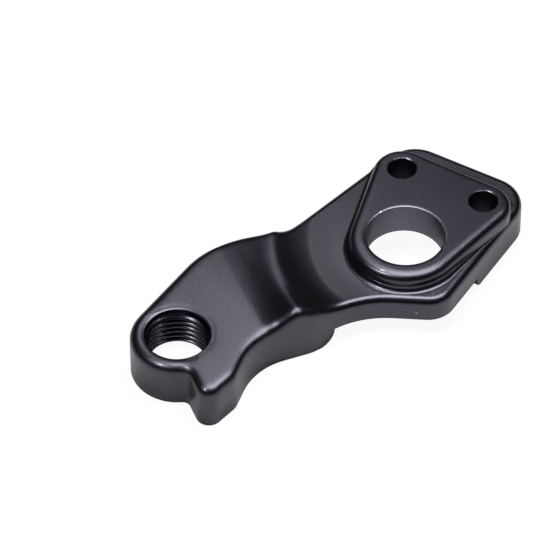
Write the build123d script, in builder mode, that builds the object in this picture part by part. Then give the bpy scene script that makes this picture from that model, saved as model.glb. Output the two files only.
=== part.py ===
from build123d import *
from math import cos, radians, sin, tan
import os

# Axle end: the plate that bolts to the frame, with its top face at z = 0 and the axle along Z
axle_bore_diameter = 12.05
bore_edge_break = 0.15
plate_thickness = 4.1
plate_far = 20.6
plate_right_far = 11.8
plate_right_front = 10.45
plate_front = -6.8
plate_left_far = -10.4
far_right_radius = 5.4
far_left_radius = 5.6
front_right_radius = 4.5

# Boss: a raised rounded triangle around the axle and the two screws
boss_height = 3.1
boss_axle_radius = 8.6
boss_left_radius = 4.5
boss_right_radius = 4.3
boss_edge_radius = 1.6
screw_spacing = 14.1
screw_distance = 12.1
screw_hole_diameter = 4.4
screw_edge_break = 0.15
screw_head_diameter = 7.6
screw_head_angle = 90

# Leg: the arm that carries the derailleur, lower than the plate
thread_x = -21.45
thread_y = -32.25
thread_diameter = 10.0
thread_edge_break = 0.25
tip_radius = 7.15
leg_thickness = 7.65
leg_drop = 7.15
leg_lean = 6.0
leg_side = 18.4
shoulder_radius = 14.0

# Neck: where the leg's sides run into the plate, its left corner placed from the shoulder
waist_left_side = 8.55
waist_left_rise = 6.3
waist_left_radius = 8.3
waist_front_x = -0.95
waist_front_y = -12.2
waist_front_radius = 14.5
neck_front_x = -5.1
neck_front_y = -19.95
neck_front_radius = 8.0
waist_leg_x = -11.1
waist_leg_y = -27.0
waist_leg_radius = 10.3

# Stop tab beside the thread, placed from the thread's centre
tab_x = 10.2
tab_y = -9.7
tab_radius = 2.0
tab_flank_x = 11.7
tab_flank_y = -2.85
tab_flank_radius = 3.0
tab_angle = 141.0
tab_root = 10.0
notch_angle = -47.0
notch_radius = 1.2

# Ridge between leg and plate: a twisting ramp climbs from the leg, a round pocket falls to the plate
neck_blank = 6.0
ramp_x = -9.5
ramp_y = -24.3
ramp_direction = -37.0
ramp_front = 12.0
ramp_far = -20.0
ramp_front_slope = 44.0
ramp_far_slope = 1.8
ramp_blend = 1.5
ramp_reach = 25.0
pocket_x = 1.9
pocket_y = 3.5
pocket_margin = -0.11
pocket_slope = 24.7
pocket_blend = 9.0
ridge_limit = 2.5

# Underside: recess under the plate, pad under the screws and seat for the axle nut
recess_radius = 20.45
pad_edge = 3.3
pad_drop = 6.1
pad_edge_radius = 1.0
nut_seat_diameter = 19.0
bore_length = 5.7

# Edges
top_edge_radius = 1.2
ridge_edge_extra = 0.3
lower_edge_break = 0.1
rim_width = 0.3
rim_depth = 0.12
reach = 80.0
touch = 0.001

seat = Plane.XY
leg_underside = Plane.XY.offset(-leg_drop)
leg_top = leg_thickness - leg_drop
lean = radians(leg_lean)
leg_side_start = (thread_x - tip_radius * cos(lean), thread_y + tip_radius * sin(lean))
shoulder = (leg_side_start[0] + leg_side * sin(lean), leg_side_start[1] + leg_side * cos(lean))
waist_left = (shoulder[0] + waist_left_side, shoulder[1] + waist_left_rise)
waist_front = (waist_front_x, waist_front_y)
waist_leg = (waist_leg_x, waist_leg_y)
neck_front = (neck_front_x, neck_front_y)
far_right = (plate_right_far, plate_far)
far_left = (plate_left_far, plate_far)
front_right = (plate_right_front, plate_front)
tab_tip = (thread_x + tab_x, thread_y + tab_y)
tab_flank = (thread_x + tab_flank_x, thread_y + tab_flank_y)
tab_turn = radians(tab_angle)
tab_start = (tab_tip[0] + tab_root * cos(tab_turn), tab_tip[1] + tab_root * sin(tab_turn))
notch_turn = radians(notch_angle)
notch = (thread_x + tip_radius * cos(notch_turn), thread_y + tip_radius * sin(notch_turn))
screw_places = [(-screw_spacing / 2, screw_distance), (screw_spacing / 2, screw_distance)]

ramp_along = Vector(cos(radians(ramp_direction)), sin(radians(ramp_direction)), 0)
ramp_up = Vector(-ramp_along.Y, ramp_along.X, 0)
ramp_sections = [(ramp_far, ramp_far_slope), (ramp_front, ramp_front_slope)]
pocket_axis = Axis((pocket_x, pocket_y, 0), (0, 0, 1))
pocket_plane = Plane(origin=(pocket_x, pocket_y, 0), x_dir=(1, 0, 0), z_dir=(0, -1, 0))
pocket_radius = pocket_x - waist_left[0] + pocket_margin
pocket_top = 2 * neck_blank
pocket_foot = (pocket_radius, 0)
pocket_rim = (pocket_radius + pocket_top / tan(radians(pocket_slope)), pocket_top)
lip_radius = leg_drop - plate_thickness
lip_start = (recess_radius, -plate_thickness)
lip_end = (recess_radius + lip_radius, -leg_drop)


def upright(face):
    return abs(face.normal_at(face.center()).Z) < touch


def rims_of(body, diameter):
    circles = body.edges().filter_by(GeomType.CIRCLE)
    return circles.filter_by(lambda rim: abs(rim.radius - diameter / 2) < touch)


with BuildSketch(leg_underside) as outline:
    with BuildLine():
        Polyline(
            far_right, far_left, waist_left, shoulder, leg_side_start, tab_start,
            tab_tip, tab_flank, waist_leg, neck_front, waist_front, front_right, close=True,
        )
    make_face()
    for corner, radius in [
        (far_right, far_right_radius),
        (far_left, far_left_radius),
        (waist_left, waist_left_radius),
        (shoulder, shoulder_radius),
        (tab_tip, tab_radius),
        (tab_flank, tab_flank_radius),
        (waist_leg, waist_leg_radius),
        (neck_front, neck_front_radius),
        (waist_front, waist_front_radius),
        (front_right, front_right_radius),
    ]:
        fillet(outline.vertices().sort_by_distance(corner)[0], radius)
    with Locations((thread_x, thread_y)):
        Circle(tip_radius)
    fillet(outline.vertices().sort_by_distance(notch)[0], notch_radius)

with BuildSketch(leg_underside) as leg_outline:
    add(outline.sketch_local)
    with Locations((0, ridge_limit)):
        Rectangle(2 * reach, 2 * reach, align=(Align.CENTER, Align.MAX), mode=Mode.INTERSECT)

with BuildPart() as hanger:
    # Blank: the plate's outline up to the seat, the leg and neck up to above the ridge
    extrude(outline.sketch, amount=leg_drop)
    extrude(leg_outline.sketch, amount=leg_drop + neck_blank)

    # Leg's flat upper face
    with BuildSketch(Plane(origin=(ramp_x, ramp_y, leg_top), x_dir=ramp_along, z_dir=(0, 0, 1))):
        with Locations((0, -ramp_blend)):
            Rectangle(2 * reach, 2 * reach, align=(Align.CENTER, Align.MAX))
    extrude(amount=2 * neck_blank, mode=Mode.SUBTRACT)

    # Ramp that climbs from the leg's face to the ridge, with a hollow foot, steeper towards the front
    for station, slope in ramp_sections:
        foot = Vector(ramp_x, ramp_y, leg_top) + ramp_along * station
        slant = radians(slope)
        hollow_end = (ramp_blend * cos(slant), ramp_blend * sin(slant))
        ramp_end = (ramp_reach, ramp_reach * tan(slant))
        clear = ramp_end[1] + ramp_reach
        with BuildSketch(Plane(origin=foot, x_dir=ramp_up, z_dir=ramp_along)):
            with BuildLine():
                TangentArc((-ramp_blend, 0), hollow_end, tangent=(1, 0))
                Polyline(hollow_end, ramp_end, (ramp_reach, clear), (-ramp_blend, clear), (-ramp_blend, 0))
            make_face()
    loft(mode=Mode.SUBTRACT, ruled=True)

    # Round pocket that clears the frame, from the ridge down to the plate's top face
    with BuildSketch(pocket_plane) as pocket:
        with BuildLine():
            Polyline((0, 0), pocket_foot, pocket_rim, (0, pocket_top), close=True)
        make_face()
        fillet(pocket.vertices().sort_by_distance(pocket_foot)[0], pocket_blend)
    revolve(axis=pocket_axis, mode=Mode.SUBTRACT)

    # Ridge line rounded first, then the upper edge all the way round leg, ridge and plate
    pocket_wall = hanger.faces().filter_by(GeomType.CONE)[0]
    ridge_line = pocket_wall.edges().filter_by(GeomType.BSPLINE).sort_by(SortBy.LENGTH)[-1]
    fillet(ridge_line, top_edge_radius + ridge_edge_extra)
    wall_edges = hanger.faces().filter_by(upright).edges()
    fillet(wall_edges.filter_by(lambda edge: edge.center().Z > -plate_thickness / 2), top_edge_radius)
    wall_edges = hanger.faces().filter_by(upright).edges()
    chamfer(wall_edges.filter_by(lambda edge: edge.bounding_box().max.Z < -leg_drop / 2), lower_edge_break)

    # Boss around the axle and the two screws
    with BuildSketch(seat):
        Circle(boss_axle_radius)
        with Locations(screw_places[0]):
            Circle(boss_left_radius)
        with Locations(screw_places[1]):
            Circle(boss_right_radius)
        make_hull()
    extrude(amount=boss_height)
    boss_top = hanger.faces().filter_by(Axis.Z).sort_by_distance((0, 0, boss_height))[0]
    fillet(boss_top.edges(), boss_edge_radius)

    # Underside: round recess below the plate with a rounded lip, then the thicker pad under the screws
    with BuildSketch(pocket_plane):
        with BuildLine():
            RadiusArc(lip_start, lip_end, -lip_radius)
            Polyline(
                lip_end, (lip_end[0], -2 * leg_drop), (0, -2 * leg_drop), (0, -plate_thickness), lip_start,
            )
        make_face()
    revolve(axis=pocket_axis, mode=Mode.SUBTRACT)
    with BuildSketch(Plane.XY.offset(-pad_drop)):
        add(outline.sketch_local)
        with Locations((0, pad_edge)):
            Rectangle(2 * reach, 2 * reach, align=(Align.CENTER, Align.MIN), mode=Mode.INTERSECT)
    extrude(amount=pad_drop - plate_thickness)
    pad_face = hanger.faces().filter_by(Axis.Z).sort_by_distance((0, plate_far, -pad_drop))[0]
    fillet(pad_face.edges().sort_by(Axis.Y)[0], pad_edge_radius)

    # Axle bore, with a flat seat for the axle nut on the underside
    Hole(axle_bore_diameter / 2)
    with BuildSketch(leg_underside):
        Circle(nut_seat_diameter / 2)
    extrude(amount=leg_drop + boss_height - bore_length, mode=Mode.SUBTRACT)

    # Derailleur thread, at its full diameter
    with Locations((thread_x, thread_y)):
        Hole(thread_diameter / 2)

    # Screw holes, countersunk from the underside
    for place in screw_places:
        with Locations(Plane(origin=(*place, -pad_drop), z_dir=(0, 0, -1))):
            CounterSinkHole(
                screw_hole_diameter / 2, screw_head_diameter / 2, counter_sink_angle=screw_head_angle,
            )

    # Rims of the bores with a shallow bevel above and broken below, those of the screw holes broken above
    bore_rims = rims_of(hanger, axle_bore_diameter).sort_by(Axis.Z)
    boss_face = hanger.faces().filter_by(Axis.Z).sort_by_distance((0, 0, boss_height))[0]
    chamfer(bore_rims[-1], rim_width, rim_depth, reference=boss_face)
    chamfer(bore_rims[0], bore_edge_break)
    thread_rims = rims_of(hanger, thread_diameter).sort_by(Axis.Z)
    leg_face = hanger.faces().filter_by(Axis.Z).sort_by_distance((thread_x, thread_y, leg_top))[0]
    chamfer(thread_rims[-1], rim_width, rim_depth, reference=leg_face)
    chamfer(thread_rims[0], thread_edge_break)
    screw_rims = rims_of(hanger, screw_hole_diameter).sort_by(Axis.Z)
    chamfer(screw_rims[-len(screw_places):], screw_edge_break)

hanger.part.label = "hanger"
os.makedirs("parts", exist_ok=True)
export_step(hanger.part, "parts/hanger.step")
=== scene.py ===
# %% [markdown]
# # Derailleur hanger in satin black anodising
#
# The hanger is one machined aluminium piece. Its shape is already solid in the packed
# CAD model, so this lesson dresses that model: it keeps the CAD node, gives it a finish,
# adds the two small shapes that the solid leaves out (the ridges of the derailleur thread
# and the hollow corner at the foot of the boss), and then sets up a floor, soft lights and
# a camera.
#
# The imported model is loaded first. Its box is kept, and its lowest point sets the floor.

# %% Load the imported hanger
import math

import bpy
import numpy as np
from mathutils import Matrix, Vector


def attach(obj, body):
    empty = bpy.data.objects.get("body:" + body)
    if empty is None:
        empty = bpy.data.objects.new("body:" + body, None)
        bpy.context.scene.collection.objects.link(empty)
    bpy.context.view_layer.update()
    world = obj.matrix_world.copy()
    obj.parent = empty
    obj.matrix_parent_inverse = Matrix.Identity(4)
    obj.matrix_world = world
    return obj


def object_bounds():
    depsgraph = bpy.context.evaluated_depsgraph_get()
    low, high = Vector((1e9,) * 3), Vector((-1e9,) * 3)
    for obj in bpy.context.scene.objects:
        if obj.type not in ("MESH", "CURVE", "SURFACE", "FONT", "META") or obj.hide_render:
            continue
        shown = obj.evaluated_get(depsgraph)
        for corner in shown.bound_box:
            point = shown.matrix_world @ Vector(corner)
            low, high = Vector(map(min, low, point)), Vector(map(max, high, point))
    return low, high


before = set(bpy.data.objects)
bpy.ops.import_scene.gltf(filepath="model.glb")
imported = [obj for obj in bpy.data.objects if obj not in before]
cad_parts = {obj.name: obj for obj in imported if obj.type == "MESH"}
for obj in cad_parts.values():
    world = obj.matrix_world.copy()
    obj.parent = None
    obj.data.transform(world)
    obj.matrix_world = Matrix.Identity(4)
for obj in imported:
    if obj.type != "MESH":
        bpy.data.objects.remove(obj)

cad_low, cad_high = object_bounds()
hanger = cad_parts["hanger"]
scene = bpy.context.scene
scene.view_settings.view_transform = "Standard"
MM = 0.001
print("hanger triangles:", len(hanger.data.polygons))
print("CAD box in mm:", [round(v / MM, 2) for v in (*cad_low, *cad_high)])

# %% [markdown]
# ## Smooth shading for the machined faces
#
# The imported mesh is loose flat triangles. A satin metal shows every facet as a stripe, so
# the edges between triangles have to be shaded as the curves they stand for. The mesh
# itself must stay as it is. Modifiers can do it without touching the mesh: Weld joins the
# loose corners, Edge Split keeps the true sharp edges, and Weighted Normal lets the large
# flat faces win over the narrow strips beside them, so flats look flat.

# %% Weld, split and weigh the normals
SHARP_ANGLE = math.radians(32.0)
WELD_REACH = 0.001 * MM
FLAT_FACE_WEIGHT = 60

hanger.data.polygons.foreach_set("use_smooth", np.ones(len(hanger.data.polygons), bool))
weld = hanger.modifiers.new("join_facets", "WELD")
weld.merge_threshold = WELD_REACH
split = hanger.modifiers.new("keep_sharp_edges", "EDGE_SPLIT")
split.split_angle = SHARP_ANGLE
split.use_edge_sharp = False
weigh = hanger.modifiers.new("flat_faces_lead", "WEIGHTED_NORMAL")
weigh.mode = "FACE_AREA"
weigh.weight = FLAT_FACE_WEIGHT
print("modifiers on the hanger:", [m.name for m in hanger.modifiers])

# %% [markdown]
# ## The derailleur thread
#
# The derailleur screws into an M10 x 1 thread. In the solid that hole is plain, at the
# thread's full diameter, so the ridges are a thin sleeve of metal inside it. A screw
# modifier would turn a profile into a helix, but its ends would be cut off square. Here the
# sleeve is one grid instead: each column is a closed loop of points around the wall of the
# sleeve, and the wall's radius is worked out from the angle and the height. The lead-in
# cones at both mouths are simply the larger of two radii. All sizes are in millimetres.

# %% Sizes of the thread
THREAD_X, THREAD_Y = -21.45, -32.25
LEG_TOP, LEG_UNDERSIDE = 0.5, -7.15
PITCH = 1.0
FULL_RADIUS = 5.0
CREST_RADIUS = 4.46
CREST_FLAT, ROOT_FLAT = 0.20, 0.125
TOP_RIM, LOWER_RIM = 0.12, 0.25
TOP_LEAD, LOWER_LEAD = 1.6, 0.6
EMBED = 0.06
AROUND, DOWN_INSIDE, UP_OUTSIDE = 192, 150, 4

sleeve_top, sleeve_bottom = LEG_TOP - TOP_RIM, LEG_UNDERSIDE + LOWER_RIM
print("sleeve in mm, from", sleeve_top, "down to", sleeve_bottom)


# %% Wall of the thread
def thread_radius(angle, height):
    """Radius of the thread's wall: a trapezoid wave of the share of a turn left over
    when the angle's share of a turn is taken from the height in pitches. The wave stays
    at the crest radius for the crest's flat, rises in a straight flank to the full radius,
    stays there for the root's flat and falls again."""
    share = np.mod(height / PITCH - angle / (2 * np.pi), 1.0)
    from_crest = np.abs(share - 0.5)
    flank = (1 - CREST_FLAT - ROOT_FLAT) / 2
    climb = np.clip((from_crest - CREST_FLAT / 2) / flank, 0, 1)
    return CREST_RADIUS + (FULL_RADIUS - CREST_RADIUS) * climb


def mouth_radius(height):
    """Radius of the lead-in cones: the full radius less the thread's depth, times the share
    of the lead that lies between the nearer end of the sleeve and this height."""
    from_top = (sleeve_top - height) / TOP_LEAD
    from_bottom = (height - sleeve_bottom) / LOWER_LEAD
    return FULL_RADIUS - (FULL_RADIUS - CREST_RADIUS) * np.minimum(from_top, from_bottom)


def thread_sleeve():
    """Closed sleeve as an array of around x loop x 3 points. Down the inner wall the
    radius is the larger of the thread's and the cone's, no more than the full radius.
    Up the outer wall it is the full radius and the depth that the sleeve is sunk in."""
    angle = np.linspace(0, 2 * np.pi, AROUND, endpoint=False)[:, None]
    down = np.linspace(sleeve_top, sleeve_bottom, DOWN_INSIDE)[None, :]
    inner = np.maximum(thread_radius(angle, down), mouth_radius(down))
    inner = np.minimum(inner, FULL_RADIUS)
    up = np.linspace(sleeve_bottom, sleeve_top, UP_OUTSIDE)[None, :]
    outer = np.full((AROUND, UP_OUTSIDE), FULL_RADIUS + EMBED)
    radius = np.concatenate([inner, outer], axis=1)
    height = np.broadcast_to(np.concatenate([down, up], axis=1), radius.shape)
    x = THREAD_X + radius * np.cos(angle)
    y = THREAD_Y + radius * np.sin(angle)
    return np.stack([x, y, height], axis=-1)


sleeve_points = thread_sleeve()
print("sleeve grid:", sleeve_points.shape[:2])

# %% [markdown]
# A grid that closes on itself in both directions is a ring, like a tyre. Each face takes
# its four corners from the grid by index, and the last row and column join the first.

# %% Turn a closed grid into a mesh piece
def ring_piece(name, points_mm):
    """Mesh object from points on a grid that closes both ways: face (i, j) joins the points
    (i, j), (i, j+1), (i+1, j+1) and (i+1, j), where an index past the end starts again."""
    around, loop, _ = points_mm.shape
    i, j = np.meshgrid(np.arange(around), np.arange(loop), indexing="ij")
    i2, j2 = (i + 1) % around, (j + 1) % loop
    corners = [i * loop + j, i * loop + j2, i2 * loop + j2, i2 * loop + j]
    faces = np.stack(corners, axis=-1).reshape(-1, 4)
    mesh = bpy.data.meshes.new(name)
    mesh.vertices.add(around * loop)
    mesh.vertices.foreach_set("co", (points_mm * MM).astype(np.float32).ravel())
    mesh.loops.add(faces.size)
    mesh.loops.foreach_set("vertex_index", faces.astype(np.int32).ravel())
    mesh.polygons.add(len(faces))
    mesh.polygons.foreach_set("loop_start", np.arange(0, faces.size, 4, dtype=np.int32))
    mesh.polygons.foreach_set("use_smooth", np.ones(len(faces), bool))
    mesh.update(calc_edges=True)
    mesh.validate()
    piece = bpy.data.objects.new(name, mesh)
    scene.collection.objects.link(piece)
    return piece


derailleur_thread = ring_piece("derailleur_thread", sleeve_points)
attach(derailleur_thread, "root")
print("thread faces:", len(derailleur_thread.data.polygons))

# %% [markdown]
# ## The hollow corner at the foot of the boss
#
# The cutter that clears the plate around the boss has a rounded corner, so the wall of the
# boss runs into the plate in a small hollow curve. It catches a thin line of light.
# Where the boss comes close to the edge of the plate there is no room for it, and the curve
# shrinks away to nothing. A Bevel modifier would need the boss and the plate in one joined
# mesh, so the corner is a ring of its own, laid along the boss's outline.

# %% Sizes of the foot
BOSS_CIRCLES = np.array([[0.0, 0.0, 8.6], [-7.05, 12.1, 4.5], [7.05, 12.1, 4.3]])
PLATE_SIDES = np.array([[11.8, 20.6, 10.45, -6.8], [10.45, -6.8, -0.95, -12.2]])
FOOT_RADIUS = 0.8
EDGE_ROUND = 1.0
TURNS, ARC = 720, 10


def boss_outline():
    """Points of the boss's outline and their outward directions: for every direction the
    circle that reaches farthest that way gives the point."""
    angle = np.linspace(0, 2 * np.pi, TURNS, endpoint=False)
    out = np.stack([np.cos(angle), np.sin(angle)], axis=-1)
    reach = out @ BOSS_CIRCLES[:, :2].T + BOSS_CIRCLES[:, 2]
    best = BOSS_CIRCLES[np.argmax(reach, axis=1)]
    return best[:, :2] + best[:, 2:] * out, out


def room_outside(points):
    """Distance from each point to the nearest of the plate's straight sides, less the width
    of that side's rounded edge, and at least nothing."""
    start, end = PLATE_SIDES[:, :2], PLATE_SIDES[:, 2:]
    along = (end - start) / np.linalg.norm(end - start, axis=1)[:, None]
    outward = np.stack([-along[:, 1], along[:, 0]], axis=-1)
    far = ((start[None] - points[:, None]) * outward[None]).sum(axis=-1)
    return np.clip(far.min(axis=1) - EDGE_ROUND, 0.0, None)


outline, outline_out = boss_outline()
print("least room beside the boss in mm:", round(float(room_outside(outline).min()), 2))


# %% The foot as a ring
def boss_foot(points, out):
    """Closed ring as an array of around x loop x 3 points. From the wall to the plate the
    loop is a hollow quarter circle: out by the radius less its cosine, up by the radius less
    its sine. It closes below the plate's face and inside the wall."""
    radius = np.minimum(FOOT_RADIUS, room_outside(points))[:, None]
    quarter = np.linspace(0, np.pi / 2, ARC)[None, :]
    sunk = 0 * radius - EMBED
    away = np.concatenate([radius * (1 - np.cos(quarter)), radius, sunk], axis=1)
    height = np.concatenate([radius * (1 - np.sin(quarter)), sunk, sunk], axis=1)
    plan = points[:, None, :] + away[..., None] * out[:, None, :]
    return np.concatenate([plan, height[..., None]], axis=-1)


boss_foot_ring = ring_piece("boss_foot", boss_foot(outline, outline_out))
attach(boss_foot_ring, "root")
print("foot faces:", len(boss_foot_ring.data.polygons))

# %% [markdown]
# ## Satin black anodising
#
# Anodising turns the surface of the aluminium into a thin, hard, dyed layer. Before it, the
# part is blasted with fine beads, which leaves a soft grain a few tenths of a millimetre
# wide. It reads as a dark metal: what it shows is mostly a dim, blurred reflection of
# the room. So the finish is a metal with a dark base colour and a middling roughness under
# a thin, smoother coat, and the grain is a very shallow bump. The grain and the few specks
# of dust are used by more than one finish, so each is a node group with its own inputs.
#
# A node tree is a sum written as boxes and wires. A few helpers let the script write it
# like a sum again: each adds one node, feeds it with outputs or plain numbers, and hands
# back its result.

# %% Small helpers for node trees
def add_node(tree, kind, **settings):
    """A node of that kind with the given properties set."""
    node = tree.nodes.new(kind)
    for name, value in settings.items():
        setattr(node, name, value)
    return node


def feed(tree, socket, value):
    """Link an output to the socket, or set the socket to a plain value."""
    if isinstance(value, bpy.types.NodeSocket):
        tree.links.new(value, socket)
    else:
        socket.default_value = value


def calc(tree, operation, *values, clamp=False):
    """Result of a Math node."""
    node = add_node(tree, "ShaderNodeMath", operation=operation, use_clamp=clamp)
    for socket, value in zip(node.inputs, values):
        feed(tree, socket, value)
    return node.outputs["Value"]


def calc_vector(tree, operation, *values):
    """Result of a Vector Math node: a number where the operation measures, else a vector."""
    node = add_node(tree, "ShaderNodeVectorMath", operation=operation)
    for socket, value in zip(node.inputs, values):
        feed(tree, socket, value)
    measures = operation in ("DOT_PRODUCT", "DISTANCE", "LENGTH")
    return node.outputs["Value" if measures else "Vector"]


def ease(tree, value, span, result=(0.0, 1.0), curve="LINEAR"):
    """Result of a Map Range node: the value's place in the span, carried over to the
    result's span and held at both ends."""
    node = add_node(tree, "ShaderNodeMapRange", interpolation_type=curve)
    names = ("Value", "From Min", "From Max", "To Min", "To Max")
    for name, given in zip(names, (value, *span, *result)):
        feed(tree, node.inputs[name], given)
    return node.outputs["Result"]


def blend(tree, kind, share, first, second):
    """Result of a Mix node between two colours or two vectors."""
    node = add_node(tree, "ShaderNodeMix", data_type=kind)
    for name, given in (("Factor", share), ("A", first), ("B", second)):
        feed(tree, node.inputs[name], given)
    return node.outputs["Result"]


def millimetres(*values):
    """The same lengths in metres, Blender's unit."""
    return tuple(value * MM for value in values)


print("one pitch in metres:", millimetres(PITCH))


# %% Empty groups, and groups placed in a tree
NUMBER, VECTOR = "NodeSocketFloat", "NodeSocketVector"


def new_group(name, inputs, outputs):
    """An empty shader node group with named sockets, and its input and output nodes."""
    tree = bpy.data.node_groups.new(name, "ShaderNodeTree")
    for socket, kind, value in inputs:
        made = tree.interface.new_socket(socket, in_out="INPUT", socket_type=kind)
        if value is not None:
            made.default_value = value
    for socket, kind in outputs:
        tree.interface.new_socket(socket, in_out="OUTPUT", socket_type=kind)
    return tree, tree.nodes.new("NodeGroupInput"), tree.nodes.new("NodeGroupOutput")


def place_group(tree, group, **given):
    """Outputs of a group's node whose inputs of those names are fed."""
    node = add_node(tree, "ShaderNodeGroup", node_tree=group)
    for name, value in given.items():
        feed(tree, node.inputs[name], value)
    return node.outputs


print("socket kinds:", NUMBER, VECTOR)

# %% [markdown]
# ### Grain and dust
#
# Noise in the part's own coordinates gives the grain, and a second, much broader noise the
# slow changes of tone and gloss that dyed metal has. An image would need to be wrapped
# round every edge. For the dust, a cell pattern puts one point in each cell, and only a few
# of these points keep a speck.

# %% Blasted grain, as a group
GRAIN_SCALE, MOTTLE_SCALE = 3000.0, 140.0


def blasted_grain_group():
    """Height: fine noise with two finer layers in it. Mottle: broad noise, for slow changes
    of gloss and tone."""
    tree, given, out = new_group(
        "blasted_grain",
        [("Vector", VECTOR, None),
         ("Grain Scale", NUMBER, GRAIN_SCALE),
         ("Mottle Scale", NUMBER, MOTTLE_SCALE)],
        [("Height", NUMBER), ("Mottle", NUMBER)],
    )
    for scale, detail, roughness, result in (
        ("Grain Scale", 2.0, 0.6, "Height"),
        ("Mottle Scale", 3.0, 0.5, "Mottle"),
    ):
        noise = add_node(tree, "ShaderNodeTexNoise")
        noise.inputs["Detail"].default_value = detail
        noise.inputs["Roughness"].default_value = roughness
        feed(tree, noise.inputs["Vector"], given.outputs["Vector"])
        feed(tree, noise.inputs["Scale"], given.outputs[scale])
        feed(tree, out.inputs[result], noise.outputs["Fac"])
    return tree


blasted_grain = blasted_grain_group()
print("group:", blasted_grain.name)

# %% Dust specks, as a group
SPECK_SCALE, SPECK_SIZE, SPECK_LIMIT = 900.0, 0.10, 0.985


def dust_specks_group():
    """Mask: 1 inside a small disc around some of the points of a cell pattern, 0 elsewhere.
    A cell keeps its speck only if its own random colour is above a limit."""
    tree, given, out = new_group(
        "dust_specks",
        [("Vector", VECTOR, None),
         ("Scale", NUMBER, SPECK_SCALE),
         ("Size", NUMBER, SPECK_SIZE),
         ("Limit", NUMBER, SPECK_LIMIT)],
        [("Mask", NUMBER)],
    )
    cells = add_node(tree, "ShaderNodeTexVoronoi")
    feed(tree, cells.inputs["Vector"], given.outputs["Vector"])
    feed(tree, cells.inputs["Scale"], given.outputs["Scale"])
    near = calc(tree, "LESS_THAN", cells.outputs["Distance"], given.outputs["Size"])
    parts = add_node(tree, "ShaderNodeSeparateColor")
    feed(tree, parts.inputs["Color"], cells.outputs["Color"])
    chosen = calc(tree, "GREATER_THAN", parts.outputs["Red"], given.outputs["Limit"])
    feed(tree, out.inputs["Mask"], calc(tree, "MULTIPLY", near, chosen))
    return tree


dust_specks = dust_specks_group()
print("group:", dust_specks.name)

# %% [markdown]
# ## Shading of the edges
#
# In the photograph the edges of the leg are rounder than in the solid, the boss's upper
# edge is tighter, the ridge carries a broader band of light, and the leg and the plate bend
# into their slopes before the slopes begin. All of this is too slight to change the
# outline, so it is left to the shading, in three ways. On the leg and the ridge the normal
# is the Bevel node's, which averages the normals nearby. On the boss's rim and on the ramp
# and ridge a normal that leans a little is stood up, so the flat face seems to reach
# farther. Before the slopes a very low, smooth step of height tilts the normal by a few
# degrees. Where each way holds is a mask in the part's own coordinates.

# %% Where the leg's edges are softer, as a group
PLAN = (1.0, 1.0, 0.0)
RAMP_CLIMB = (0.602, 0.799, 0.0)
PAST_RIDGE = millimetres(-13.5, -16.5)
THREAD_AXIS = millimetres(THREAD_X, THREAD_Y, 0.0)
THREAD_MARGIN = millimetres(5.5, 6.1)


def leg_edges_group():
    """Mask: 1 on the leg and the ridge, 0 past the ridge and beside the thread. The side of
    the ridge is the place along the ramp's climb, and the thread is left out by the distance
    from its axis."""
    tree, given, out = new_group("leg_edges", [("Vector", VECTOR, None)], [("Mask", NUMBER)])
    plan = calc_vector(tree, "MULTIPLY", given.outputs["Vector"], PLAN)
    climb = calc_vector(tree, "DOT_PRODUCT", plan, RAMP_CLIMB)
    from_thread = calc_vector(tree, "DISTANCE", plan, THREAD_AXIS)
    before = ease(tree, climb, PAST_RIDGE)
    outside = ease(tree, from_thread, THREAD_MARGIN)
    feed(tree, out.inputs["Mask"], calc(tree, "MULTIPLY", before, outside))
    return tree


leg_edges = leg_edges_group()
print("group:", leg_edges.name)

# %% Where the slopes begin softly, as a group
LEG_CLIMB = (0.463, 0.886, 0.0)
LEG_BEND, LEG_RISE = millimetres(-29.0, -21.0), 0.50
POCKET_MIDDLE = millimetres(1.9, 3.5, 0.0)
PLATE_BEND, PLATE_RISE = millimetres(14.0, 21.0), 0.24
LOOKS_UP = (0.6, 0.9)


def soft_starts_group():
    """Height in millimetres, on faces that look up: a smooth step along the leg before the
    ramp, and a smooth step outwards, around the middle of the pocket, before its wall."""
    tree, given, out = new_group(
        "soft_starts",
        [("Vector", VECTOR, None), ("Normal", VECTOR, None)],
        [("Height", NUMBER)],
    )
    plan = calc_vector(tree, "MULTIPLY", given.outputs["Vector"], PLAN)
    climb = calc_vector(tree, "DOT_PRODUCT", plan, LEG_CLIMB)
    from_pocket = calc_vector(tree, "DISTANCE", plan, POCKET_MIDDLE)
    on_leg = ease(tree, climb, LEG_BEND, (0.0, LEG_RISE), "SMOOTHSTEP")
    on_plate = ease(tree, from_pocket, PLATE_BEND, (0.0, PLATE_RISE), "SMOOTHSTEP")
    both = calc(tree, "ADD", on_leg, on_plate)
    parts = add_node(tree, "ShaderNodeSeparateXYZ")
    feed(tree, parts.inputs["Vector"], given.outputs["Normal"])
    upward = ease(tree, parts.outputs["Z"], LOOKS_UP)
    feed(tree, out.inputs["Height"], calc(tree, "MULTIPLY", both, upward))
    return tree


soft_starts = soft_starts_group()
print("group:", soft_starts.name)

# %% Where normals are stood up, as a group
BOSS_WALL_TOP = 1.3 * MM
BORE_MARGIN = 6.5 * MM
BOSS_MIDDLE = millimetres(0.0, 7.0, 0.0)
BOSS_REACH = 17.0 * MM
RAMP_ACROSS = (0.799, -0.602, 0.0)
RAMP_START = millimetres(-29.0, -27.0)
RAMP_FAR_PART = millimetres(4.0, 0.5)
POCKET_RIM = millimetres(22.8, 23.8)
BEHIND_RIDGE, RAMP_SHARE = millimetres(24.2, 26.2), (1.0, 0.4)


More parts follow.
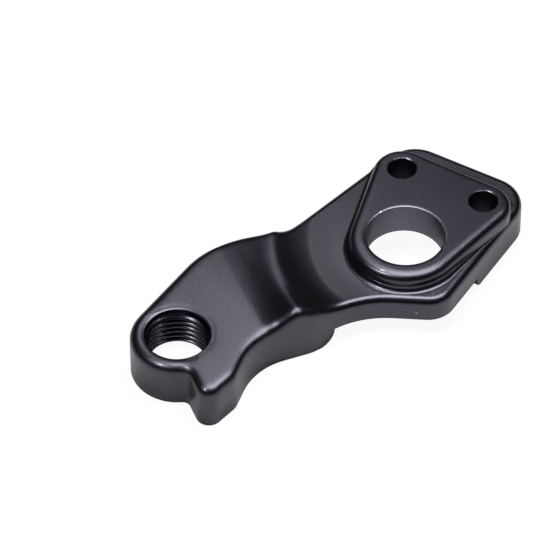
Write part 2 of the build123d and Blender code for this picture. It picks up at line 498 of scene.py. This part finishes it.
def upright_places_group():
    """Mask, the larger of two. The boss: 1 above the foot of its wall, outside the axle bore
    and near the boss's middle. The neck: the product of four slopes, up the ramp's climb, to
    its far side, outwards from the pocket, and down to a lesser share behind the ridge."""
    tree, given, out = new_group(
        "upright_places", [("Vector", VECTOR, None)], [("Mask", NUMBER)])
    parts = add_node(tree, "ShaderNodeSeparateXYZ")
    feed(tree, parts.inputs["Vector"], given.outputs["Vector"])
    plan = calc_vector(tree, "MULTIPLY", given.outputs["Vector"], PLAN)
    from_boss = calc_vector(tree, "DISTANCE", plan, BOSS_MIDDLE)
    boss = calc(tree, "GREATER_THAN", parts.outputs["Z"], BOSS_WALL_TOP)
    for test, value, limit in (
        ("GREATER_THAN", calc_vector(tree, "LENGTH", plan), BORE_MARGIN),
        ("LESS_THAN", from_boss, BOSS_REACH),
    ):
        boss = calc(tree, "MULTIPLY", boss, calc(tree, test, value, limit))
    across = calc_vector(tree, "DOT_PRODUCT", plan, RAMP_ACROSS)
    from_pocket = calc_vector(tree, "DISTANCE", plan, POCKET_MIDDLE)
    neck = ease(tree, calc_vector(tree, "DOT_PRODUCT", plan, RAMP_CLIMB), RAMP_START)
    for slope in (
        ease(tree, across, RAMP_FAR_PART),
        ease(tree, from_pocket, POCKET_RIM),
        ease(tree, from_pocket, BEHIND_RIDGE, RAMP_SHARE),
    ):
        neck = calc(tree, "MULTIPLY", neck, slope)
    feed(tree, out.inputs["Mask"], calc(tree, "MAXIMUM", boss, neck))
    return tree


upright_places = upright_places_group()
print("group:", upright_places.name)

# %% Normals that are stood up, as a group
STAND_UP_POWER = 0.9


def turn_normal(tree, normal, start, end):
    """The same normal in the other space, world or object."""
    node = add_node(tree, "ShaderNodeVectorTransform",
                    vector_type="NORMAL", convert_from=start, convert_to=end)
    feed(tree, node.inputs["Vector"], normal)
    return node.outputs["Vector"]


def upright_normal_group():
    """Normal: its level part made shorter by a power of its own length, and its upright part
    what is left of length 1, so faces that lean a little look flat. Share says how much of
    the new normal is taken."""
    tree, given, out = new_group(
        "upright_normal",
        [("Normal", VECTOR, None), ("Share", NUMBER, 0.0), ("Power", NUMBER, STAND_UP_POWER)],
        [("Normal", VECTOR)],
    )
    local = turn_normal(tree, given.outputs["Normal"], "WORLD", "OBJECT")
    level = calc_vector(tree, "MULTIPLY", local, PLAN)
    lean = calc_vector(tree, "LENGTH", level)
    less = calc(tree, "POWER", lean, given.outputs["Power"], clamp=True)
    short = calc_vector(tree, "MULTIPLY", level, less)
    square = calc_vector(tree, "DOT_PRODUCT", short, short)
    upright = calc(tree, "SQRT", calc(tree, "SUBTRACT", 1.0, square, clamp=True))
    stand = add_node(tree, "ShaderNodeCombineXYZ")
    feed(tree, stand.inputs["Z"], upright)
    joined = calc_vector(tree, "ADD", short, stand.outputs["Vector"])
    stood = turn_normal(tree, joined, "OBJECT", "WORLD")
    picked = blend(tree, "VECTOR", given.outputs["Share"], given.outputs["Normal"], stood)
    feed(tree, out.inputs["Normal"], picked)
    return tree


upright_normal = upright_normal_group()
print("group:", upright_normal.name)

# %% [markdown]
# ## The finish put together
#
# One function makes the finish for any place on the hanger, because the body and the thread
# differ only in tone, gloss and depth of grain. The wall of the axle bore mirrors the lit
# floor below and looks lighter than the faces around it, so the tone is raised close to the
# bore's
# axis: painted light that stands in for that reflection.

# %% Colour and normal of the finish
# The second span raises the tone inside the axle bore: painted light standing in for the lit
# floor that the bore's wall mirrors.
BORE_EDGE, BORE_PAINTED_LIGHT = millimetres(6.1, 6.2), (1.7, 1.0)
DUST_GREY = (0.55, 0.55, 0.56, 1.0)
SOFT_EDGE_RADIUS = 1.8 * MM
BEVEL_SAMPLES = 8


def anodised_colour(tree, where, mottle, dust_limit, tone_low, tone_high):
    """Base colour: between two tones by the mottle, times a larger number inside the axle
    bore as painted light for the floor that the bore mirrors, and grey on a speck of dust."""
    tone = blend(tree, "RGBA", mottle, (*tone_low, 1.0), (*tone_high, 1.0))
    plan = calc_vector(tree, "MULTIPLY", where, PLAN)
    # Painted light: the tone is raised near the bore's axis, standing in for the floor's
    # reflection in the bore's wall.
    painted_bore_light = ease(tree, calc_vector(tree, "LENGTH", plan), BORE_EDGE, BORE_PAINTED_LIGHT)
    painted_lit_tone = calc_vector(tree, "MULTIPLY", tone, painted_bore_light)
    specks = place_group(tree, dust_specks, Vector=where, Limit=dust_limit)
    return blend(tree, "RGBA", specks["Mask"], painted_lit_tone, DUST_GREY)


def anodised_normal(tree, where, grain_height, grain_depth):
    """Normal: the solid's, or the Bevel node's on the leg, stood up where that holds, and
    then tilted by a bump of the grain times its depth and the soft starts of the slopes."""
    solid = add_node(tree, "ShaderNodeNewGeometry").outputs["Normal"]
    soft = add_node(tree, "ShaderNodeBevel", samples=BEVEL_SAMPLES)
    soft.inputs["Radius"].default_value = SOFT_EDGE_RADIUS
    leg = place_group(tree, leg_edges, Vector=where)["Mask"]
    eased = blend(tree, "VECTOR", leg, solid, soft.outputs["Normal"])
    share = place_group(tree, upright_places, Vector=where)["Mask"]
    stood = place_group(tree, upright_normal, Normal=eased, Share=share)["Normal"]
    starts = place_group(tree, soft_starts, Vector=where, Normal=solid)["Height"]
    height = calc(tree, "MULTIPLY_ADD", grain_height, grain_depth, starts)
    bump = add_node(tree, "ShaderNodeBump")
    bump.inputs["Distance"].default_value = MM
    feed(tree, bump.inputs["Normal"], stood)
    feed(tree, bump.inputs["Height"], height)
    return bump.outputs["Normal"]


print("bore lightened by", BORE_PAINTED_LIGHT[0])

# %% The two finishes
COAT_WEIGHT, COAT_ROUGHNESS = 0.3, 0.125


def anodised_finish(name, tones, roughness, grain_depth, dust_limit):
    """Dark metal under a thin coat: the colour and normal above, and a roughness between two
    values by the mottle."""
    material = bpy.data.materials.new(name)
    material.use_nodes = True
    tree = material.node_tree
    shader = tree.nodes["Principled BSDF"]
    shader.inputs["Metallic"].default_value = 1.0
    shader.inputs["Coat Weight"].default_value = COAT_WEIGHT
    shader.inputs["Coat Roughness"].default_value = COAT_ROUGHNESS
    where = add_node(tree, "ShaderNodeTexCoord").outputs["Object"]
    grain = place_group(tree, blasted_grain, Vector=where)
    colour = anodised_colour(tree, where, grain["Mottle"], dust_limit, *tones)
    gloss = ease(tree, grain["Mottle"], (0.0, 1.0), roughness)
    normal = anodised_normal(tree, where, grain["Height"], grain_depth)
    feed(tree, shader.inputs["Base Color"], colour)
    feed(tree, shader.inputs["Roughness"], gloss)
    feed(tree, shader.inputs["Normal"], normal)
    return material


body_finish = anodised_finish(
    "black_anodised_body", tones=((0.078, 0.075, 0.095), (0.089, 0.086, 0.108)),
    roughness=(0.28, 0.31), grain_depth=0.02, dust_limit=0.985)
thread_finish = anodised_finish(
    "black_anodised_thread", tones=((0.085, 0.085, 0.11), (0.10, 0.10, 0.13)),
    roughness=(0.20, 0.24), grain_depth=0.001, dust_limit=0.999)
hanger.data.materials.clear()
hanger.data.materials.append(body_finish)
derailleur_thread.data.materials.append(thread_finish)
boss_foot_ring.data.materials.append(body_finish)
print("finishes:", body_finish.name, thread_finish.name)

# %% [markdown]
# ## A white floor that keeps the shadow
#
# The part stands on plain white. A floor that is bright enough to be white under
# the lamps alone would need lamps that are too strong for the part. So the camera sees a
# floor that glows at white, mixed with a plain diffuse floor, which keeps the part's soft
# shadow. Mirror rays see a small share of that glow, because the part in the photograph
# mirrors a mostly dark room. All other rays see the diffuse floor alone. The floor lies a
# hair below the part, so that the two faces never share one plane.

# %% Floor
FLOOR_HALF = 1.5
FLOOR_GAP = 0.02 * MM
floor_height = cad_low.z - FLOOR_GAP
floor_corners = FLOOR_HALF * np.array([[-1, -1], [1, -1], [1, 1], [-1, 1]])
floor_points = np.column_stack([floor_corners, np.full(4, floor_height)])
floor_mesh = bpy.data.meshes.new("floor")
floor_mesh.from_pydata(floor_points.tolist(), [], [(0, 1, 2, 3)])
floor = bpy.data.objects.new("floor", floor_mesh)
scene.collection.objects.link(floor)
print("floor at mm:", round(floor_height / MM, 2))


# %% A glow for some rays only
def glow_share(tree, direct, mirrored):
    """Share of the glow: one value for camera and transmission rays, another for glossy
    rays and 0 for all the others."""
    path = add_node(tree, "ShaderNodeLightPath").outputs
    seen = calc(tree, "MAXIMUM", path["Is Camera Ray"], path["Is Transmission Ray"])
    glossy = calc(tree, "MULTIPLY", path["Is Glossy Ray"], mirrored)
    return calc(tree, "MULTIPLY_ADD", seen, direct, glossy)


def plain_and_glow(tree, plain, glow, share, output_kind):
    """Ends an otherwise empty tree in a mix of a plain shader and a glowing one."""
    mixed = add_node(tree, "ShaderNodeMixShader")
    for socket, given in zip(mixed.inputs, (share, plain.outputs[0], glow.outputs[0])):
        feed(tree, socket, given)
    feed(tree, add_node(tree, output_kind).inputs["Surface"], mixed.outputs[0])


FLOOR_GREY, FLOOR_GLOW = (0.65, 0.65, 0.65, 1.0), 1.1
white_floor = bpy.data.materials.new("white_floor")
white_floor.use_nodes = True
tree = white_floor.node_tree
tree.nodes.clear()
plain = add_node(tree, "ShaderNodeBsdfDiffuse")
plain.inputs["Color"].default_value = FLOOR_GREY
glow = add_node(tree, "ShaderNodeEmission")
glow.inputs["Strength"].default_value = FLOOR_GLOW
floor_share = glow_share(tree, direct=0.85, mirrored=0.05)
plain_and_glow(tree, plain, glow, floor_share, "ShaderNodeOutputMaterial")
floor_mesh.materials.append(white_floor)
print("floor finish:", white_floor.name)

# %% [markdown]
# ## Soft studio light
#
# A dark satin metal is lit by what it reflects. A broad box of light overhead draws the
# bright line along each rounded edge. A dimmer, narrow strip behind gives the flat upper
# faces their middle grey, brightest on the leg and fading towards the boss. The side of the
# camera stays dark, which draws the dark line under each bright one. A small lamp far to the
# left puts a spark on the rounded corners. The room itself is dim, and the camera alone sees
# it as white.

# %% Lamps
TARGET = Vector((-13.28, -15.23, 0.45)) * MM
CAMERA_AZIMUTH, CAMERA_ELEVATION = math.radians(29.25), math.radians(48.0)
RIGHT = Vector((math.cos(CAMERA_AZIMUTH), math.sin(CAMERA_AZIMUTH), 0.0))
FRONT = Vector((math.sin(CAMERA_AZIMUTH), -math.cos(CAMERA_AZIMUTH), 0.0))
UP = Vector((0.0, 0.0, 1.0))


def soft_box(name, right, front, up, width, depth, radiance):
    """Rectangular lamp that faces straight down, placed in metres from the hanger to the
    camera's right, towards the camera and up. A flat lamp's power is its radiance times
    its area times pi."""
    lamp = bpy.data.lights.new(name, "AREA")
    lamp.shape = "RECTANGLE"
    lamp.size, lamp.size_y = width, depth
    lamp.energy = radiance * width * depth * math.pi
    box = bpy.data.objects.new(name, lamp)
    box.location = TARGET + RIGHT * right + FRONT * front + UP * up
    box.rotation_euler = (0.0, 0.0, CAMERA_AZIMUTH)
    box.visible_camera = False
    scene.collection.objects.link(box)


soft_box("overhead_box", right=0.045, front=-0.035, up=0.20,
         width=0.16, depth=0.13, radiance=6.2)
soft_box("back_strip", right=-0.004, front=-0.15, up=0.20,
         width=0.038, depth=0.10, radiance=2.6)
soft_box("spark_lamp", right=-0.19, front=0.09, up=0.44,
         width=0.035, depth=0.035, radiance=230.0)

# %% Room
DIM, WHITE = (0.012, 0.012, 0.014, 1.0), (1.0, 1.0, 1.0, 1.0)
room = bpy.data.worlds.new("dim_room")
scene.world = room
room.use_nodes = True
tree = room.node_tree
tree.nodes.clear()
dim = add_node(tree, "ShaderNodeBackground")
dim.inputs["Color"].default_value = DIM
white = add_node(tree, "ShaderNodeBackground")
white.inputs["Color"].default_value = WHITE
room_share = glow_share(tree, direct=1.0, mirrored=0.01)
plain_and_glow(tree, dim, white, room_share, "ShaderNodeOutputWorld")
print("room:", room.name)

# %% [markdown]
# ## Camera
#
# The rims of the two bores give the viewing angle: their ellipses are about three quarters
# as high as wide, which is a view from 48 degrees above the plate. Parallel edges hardly
# draw together, so the lens is long and the camera stands well back.

# %% Camera at the photograph's angle
FOCAL_PIXELS, FRAME_PIXELS = 5000.0, 560.0
SENSOR_WIDTH = 36.0
CAMERA_DISTANCE = 0.7576
NEAREST, FARTHEST = 0.05, 20.0

back = FRONT * math.cos(CAMERA_ELEVATION) + UP * math.sin(CAMERA_ELEVATION)
lens = bpy.data.cameras.new("camera")
lens.sensor_width = SENSOR_WIDTH
lens.lens = FOCAL_PIXELS / FRAME_PIXELS * SENSOR_WIDTH
lens.clip_start, lens.clip_end = NEAREST, FARTHEST
camera = bpy.data.objects.new("camera", lens)
camera.location = TARGET + back * CAMERA_DISTANCE
camera.rotation_mode = "QUATERNION"
camera.rotation_quaternion = (-back).to_track_quat("-Z", "Y")
scene.collection.objects.link(camera)
scene.camera = camera
print("lens in mm:", round(lens.lens, 1))
